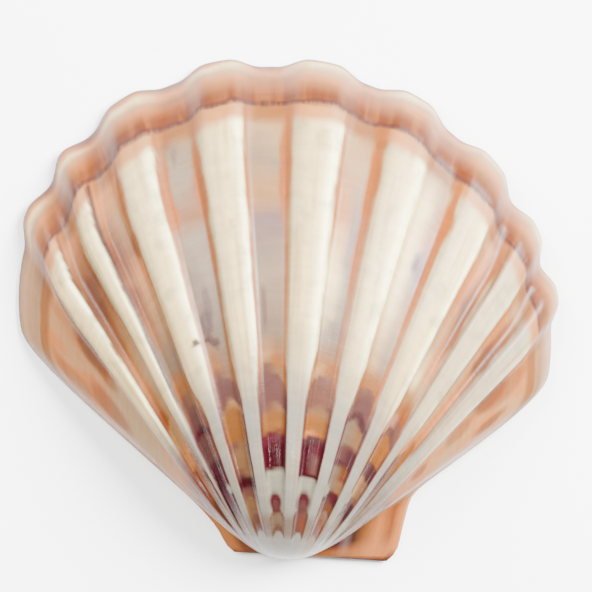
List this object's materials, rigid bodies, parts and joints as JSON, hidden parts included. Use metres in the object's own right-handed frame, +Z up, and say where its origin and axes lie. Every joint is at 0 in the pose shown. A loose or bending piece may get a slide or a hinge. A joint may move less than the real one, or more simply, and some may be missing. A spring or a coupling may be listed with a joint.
{
  "type": "scallop shell",
  "caption": "Single scallop valve: a domed, fan-shaped seashell half with broad radial ribs, a scalloped rim, a curled beak and unequal hinge ears, open underneath.",
  "frame": {"origin": "centre of the footprint's bounding box, on the surface that the rim rests on", "axes": "+X along the hinge towards the large ear, +Y from the hinge to the middle of the fan's edge, +Z up out of the domed side"},
  "size_m": [0.1006, 0.0928, 0.0254],
  "materials": {
    "shell": "polished natural shell, glossy, cream ribs with orange, grey and maroon colouring"
  },
  "bodies": {
    "root": {"shell_valve": "shell"}
  },
  "joints": []
}
